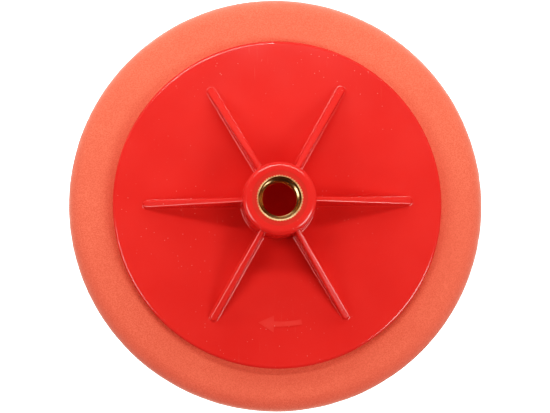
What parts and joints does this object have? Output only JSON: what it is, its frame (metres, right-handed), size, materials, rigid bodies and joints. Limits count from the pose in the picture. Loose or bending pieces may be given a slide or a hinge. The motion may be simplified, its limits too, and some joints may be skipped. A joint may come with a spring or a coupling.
{
  "type": "polishing pad",
  "caption": "Round foam polishing pad bonded under a moulded plastic backing plate with gusset ribs and a hub that holds a knurled, threaded brass insert.",
  "frame": {"origin": "centre of the foam's flat working face, where the spindle axis meets it", "axes": "+Z along the spindle axis, out of the foam and towards the hub's threaded mouth; +X along one rib; -Y through the middle of the raised rotation arrow"},
  "size_m": [0.15, 0.15, 0.0718],
  "materials": {
    "foam": "open-cell polyurethane foam, cut faces with fine pores, coral orange",
    "adhesive": "cured contact adhesive film",
    "plate_plastic": "red moulded plastic, satin to semi-gloss, with fine handling scratches",
    "brass": "turned and knurled brass"
  },
  "bodies": {
    "root": {"foam_pad": "foam", "adhesive_layer": "adhesive", "backing_plate": "plate_plastic", "threaded_insert": "brass"}
  },
  "joints": []
}
